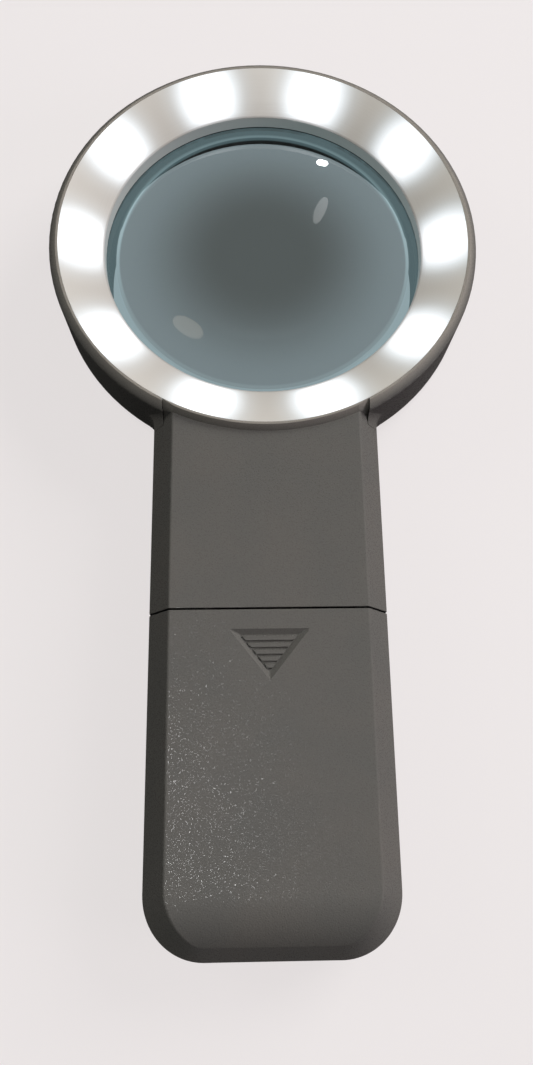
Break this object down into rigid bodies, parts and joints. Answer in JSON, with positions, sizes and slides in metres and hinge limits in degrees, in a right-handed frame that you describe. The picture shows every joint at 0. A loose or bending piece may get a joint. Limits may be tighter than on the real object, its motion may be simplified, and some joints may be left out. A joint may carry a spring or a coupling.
{
  "type": "low vision magnifier",
  "caption": "Handheld illuminated magnifier: a round head with a lit conical ring round a convex lens, on a flat chamfered handle with a sliding battery cover.",
  "frame": {"origin": "middle of the length and width, in the plane of the flat back", "axes": "+Y from the handle's end to the head, +Z out of the lit side, +X to the right seen from the lit side"},
  "size_m": [0.099, 0.203, 0.022],
  "materials": {
    "housing_plastic": "matte",
    "cover_plastic": "matte",
    "knob_plastic": "matte",
    "ring_diffuser": "satin",
    "lens_clear": "polished",
    "gasket_rubber": "matte",
    "board_white": "satin",
    "board_green": "satin",
    "led_body": "satin",
    "led_phosphor": "matte",
    "chip_black": "matte",
    "screw_steel": "satin",
    "switch_steel": "satin",
    "slider_plastic": "satin",
    "phenolic": "satin",
    "contact_brass": "satin",
    "contact_nickel": "satin",
    "cell_wrap": "gloss",
    "cell_steel": "polished",
    "wire_red": "satin",
    "wire_black": "satin"
  },
  "bodies": {
    "housing": {"rear_housing": "housing_plastic", "neck_cover": "housing_plastic", "diffuser_ring": "ring_diffuser", "lens": "lens_clear", "lens_gasket": "gasket_rubber", "led_board": "board_white", "led_packages": "led_body", "led_phosphors": "led_phosphor", "led_resistors": "chip_black", "led_board_screws": "screw_steel", "housing_screws": "screw_steel", "switch_frame": "switch_steel", "switch_base": "phenolic", "switch_terminals": "contact_brass", "switch_board": "board_green", "switch_board_screws": "screw_steel", "wire_positive": "wire_red", "wire_switched": "wire_red", "wire_negative": "wire_black", "contact_positive": "contact_nickel", "contact_bridge_top": "contact_nickel", "contact_bridge_end": "contact_nickel", "contact_negative": "contact_nickel", "battery_1": "cell_wrap", "battery_1_cap": "cell_steel", "contact_spring_1": "contact_nickel", "battery_2": "cell_wrap", "battery_2_cap": "cell_steel", "contact_spring_2": "contact_nickel", "battery_3": "cell_wrap", "battery_3_cap": "cell_steel", "contact_spring_3": "contact_nickel"},
    "battery_cover_body": {"battery_cover": "cover_plastic"},
    "switch_body": {"switch_knob": "knob_plastic", "switch_slider": "slider_plastic", "switch_wiper": "contact_brass"}
  },
  "joints": [
    {"name": "battery_cover_slide", "type": "slide", "parent": "housing", "child": "battery_cover_body", "axis": [0, -1, 0], "range_m": [0, 0.07]},
    {"name": "switch_slide", "type": "slide", "parent": "housing", "child": "switch_body", "axis": [0, -1, 0], "range_m": [0, 0.004]}
  ]
}
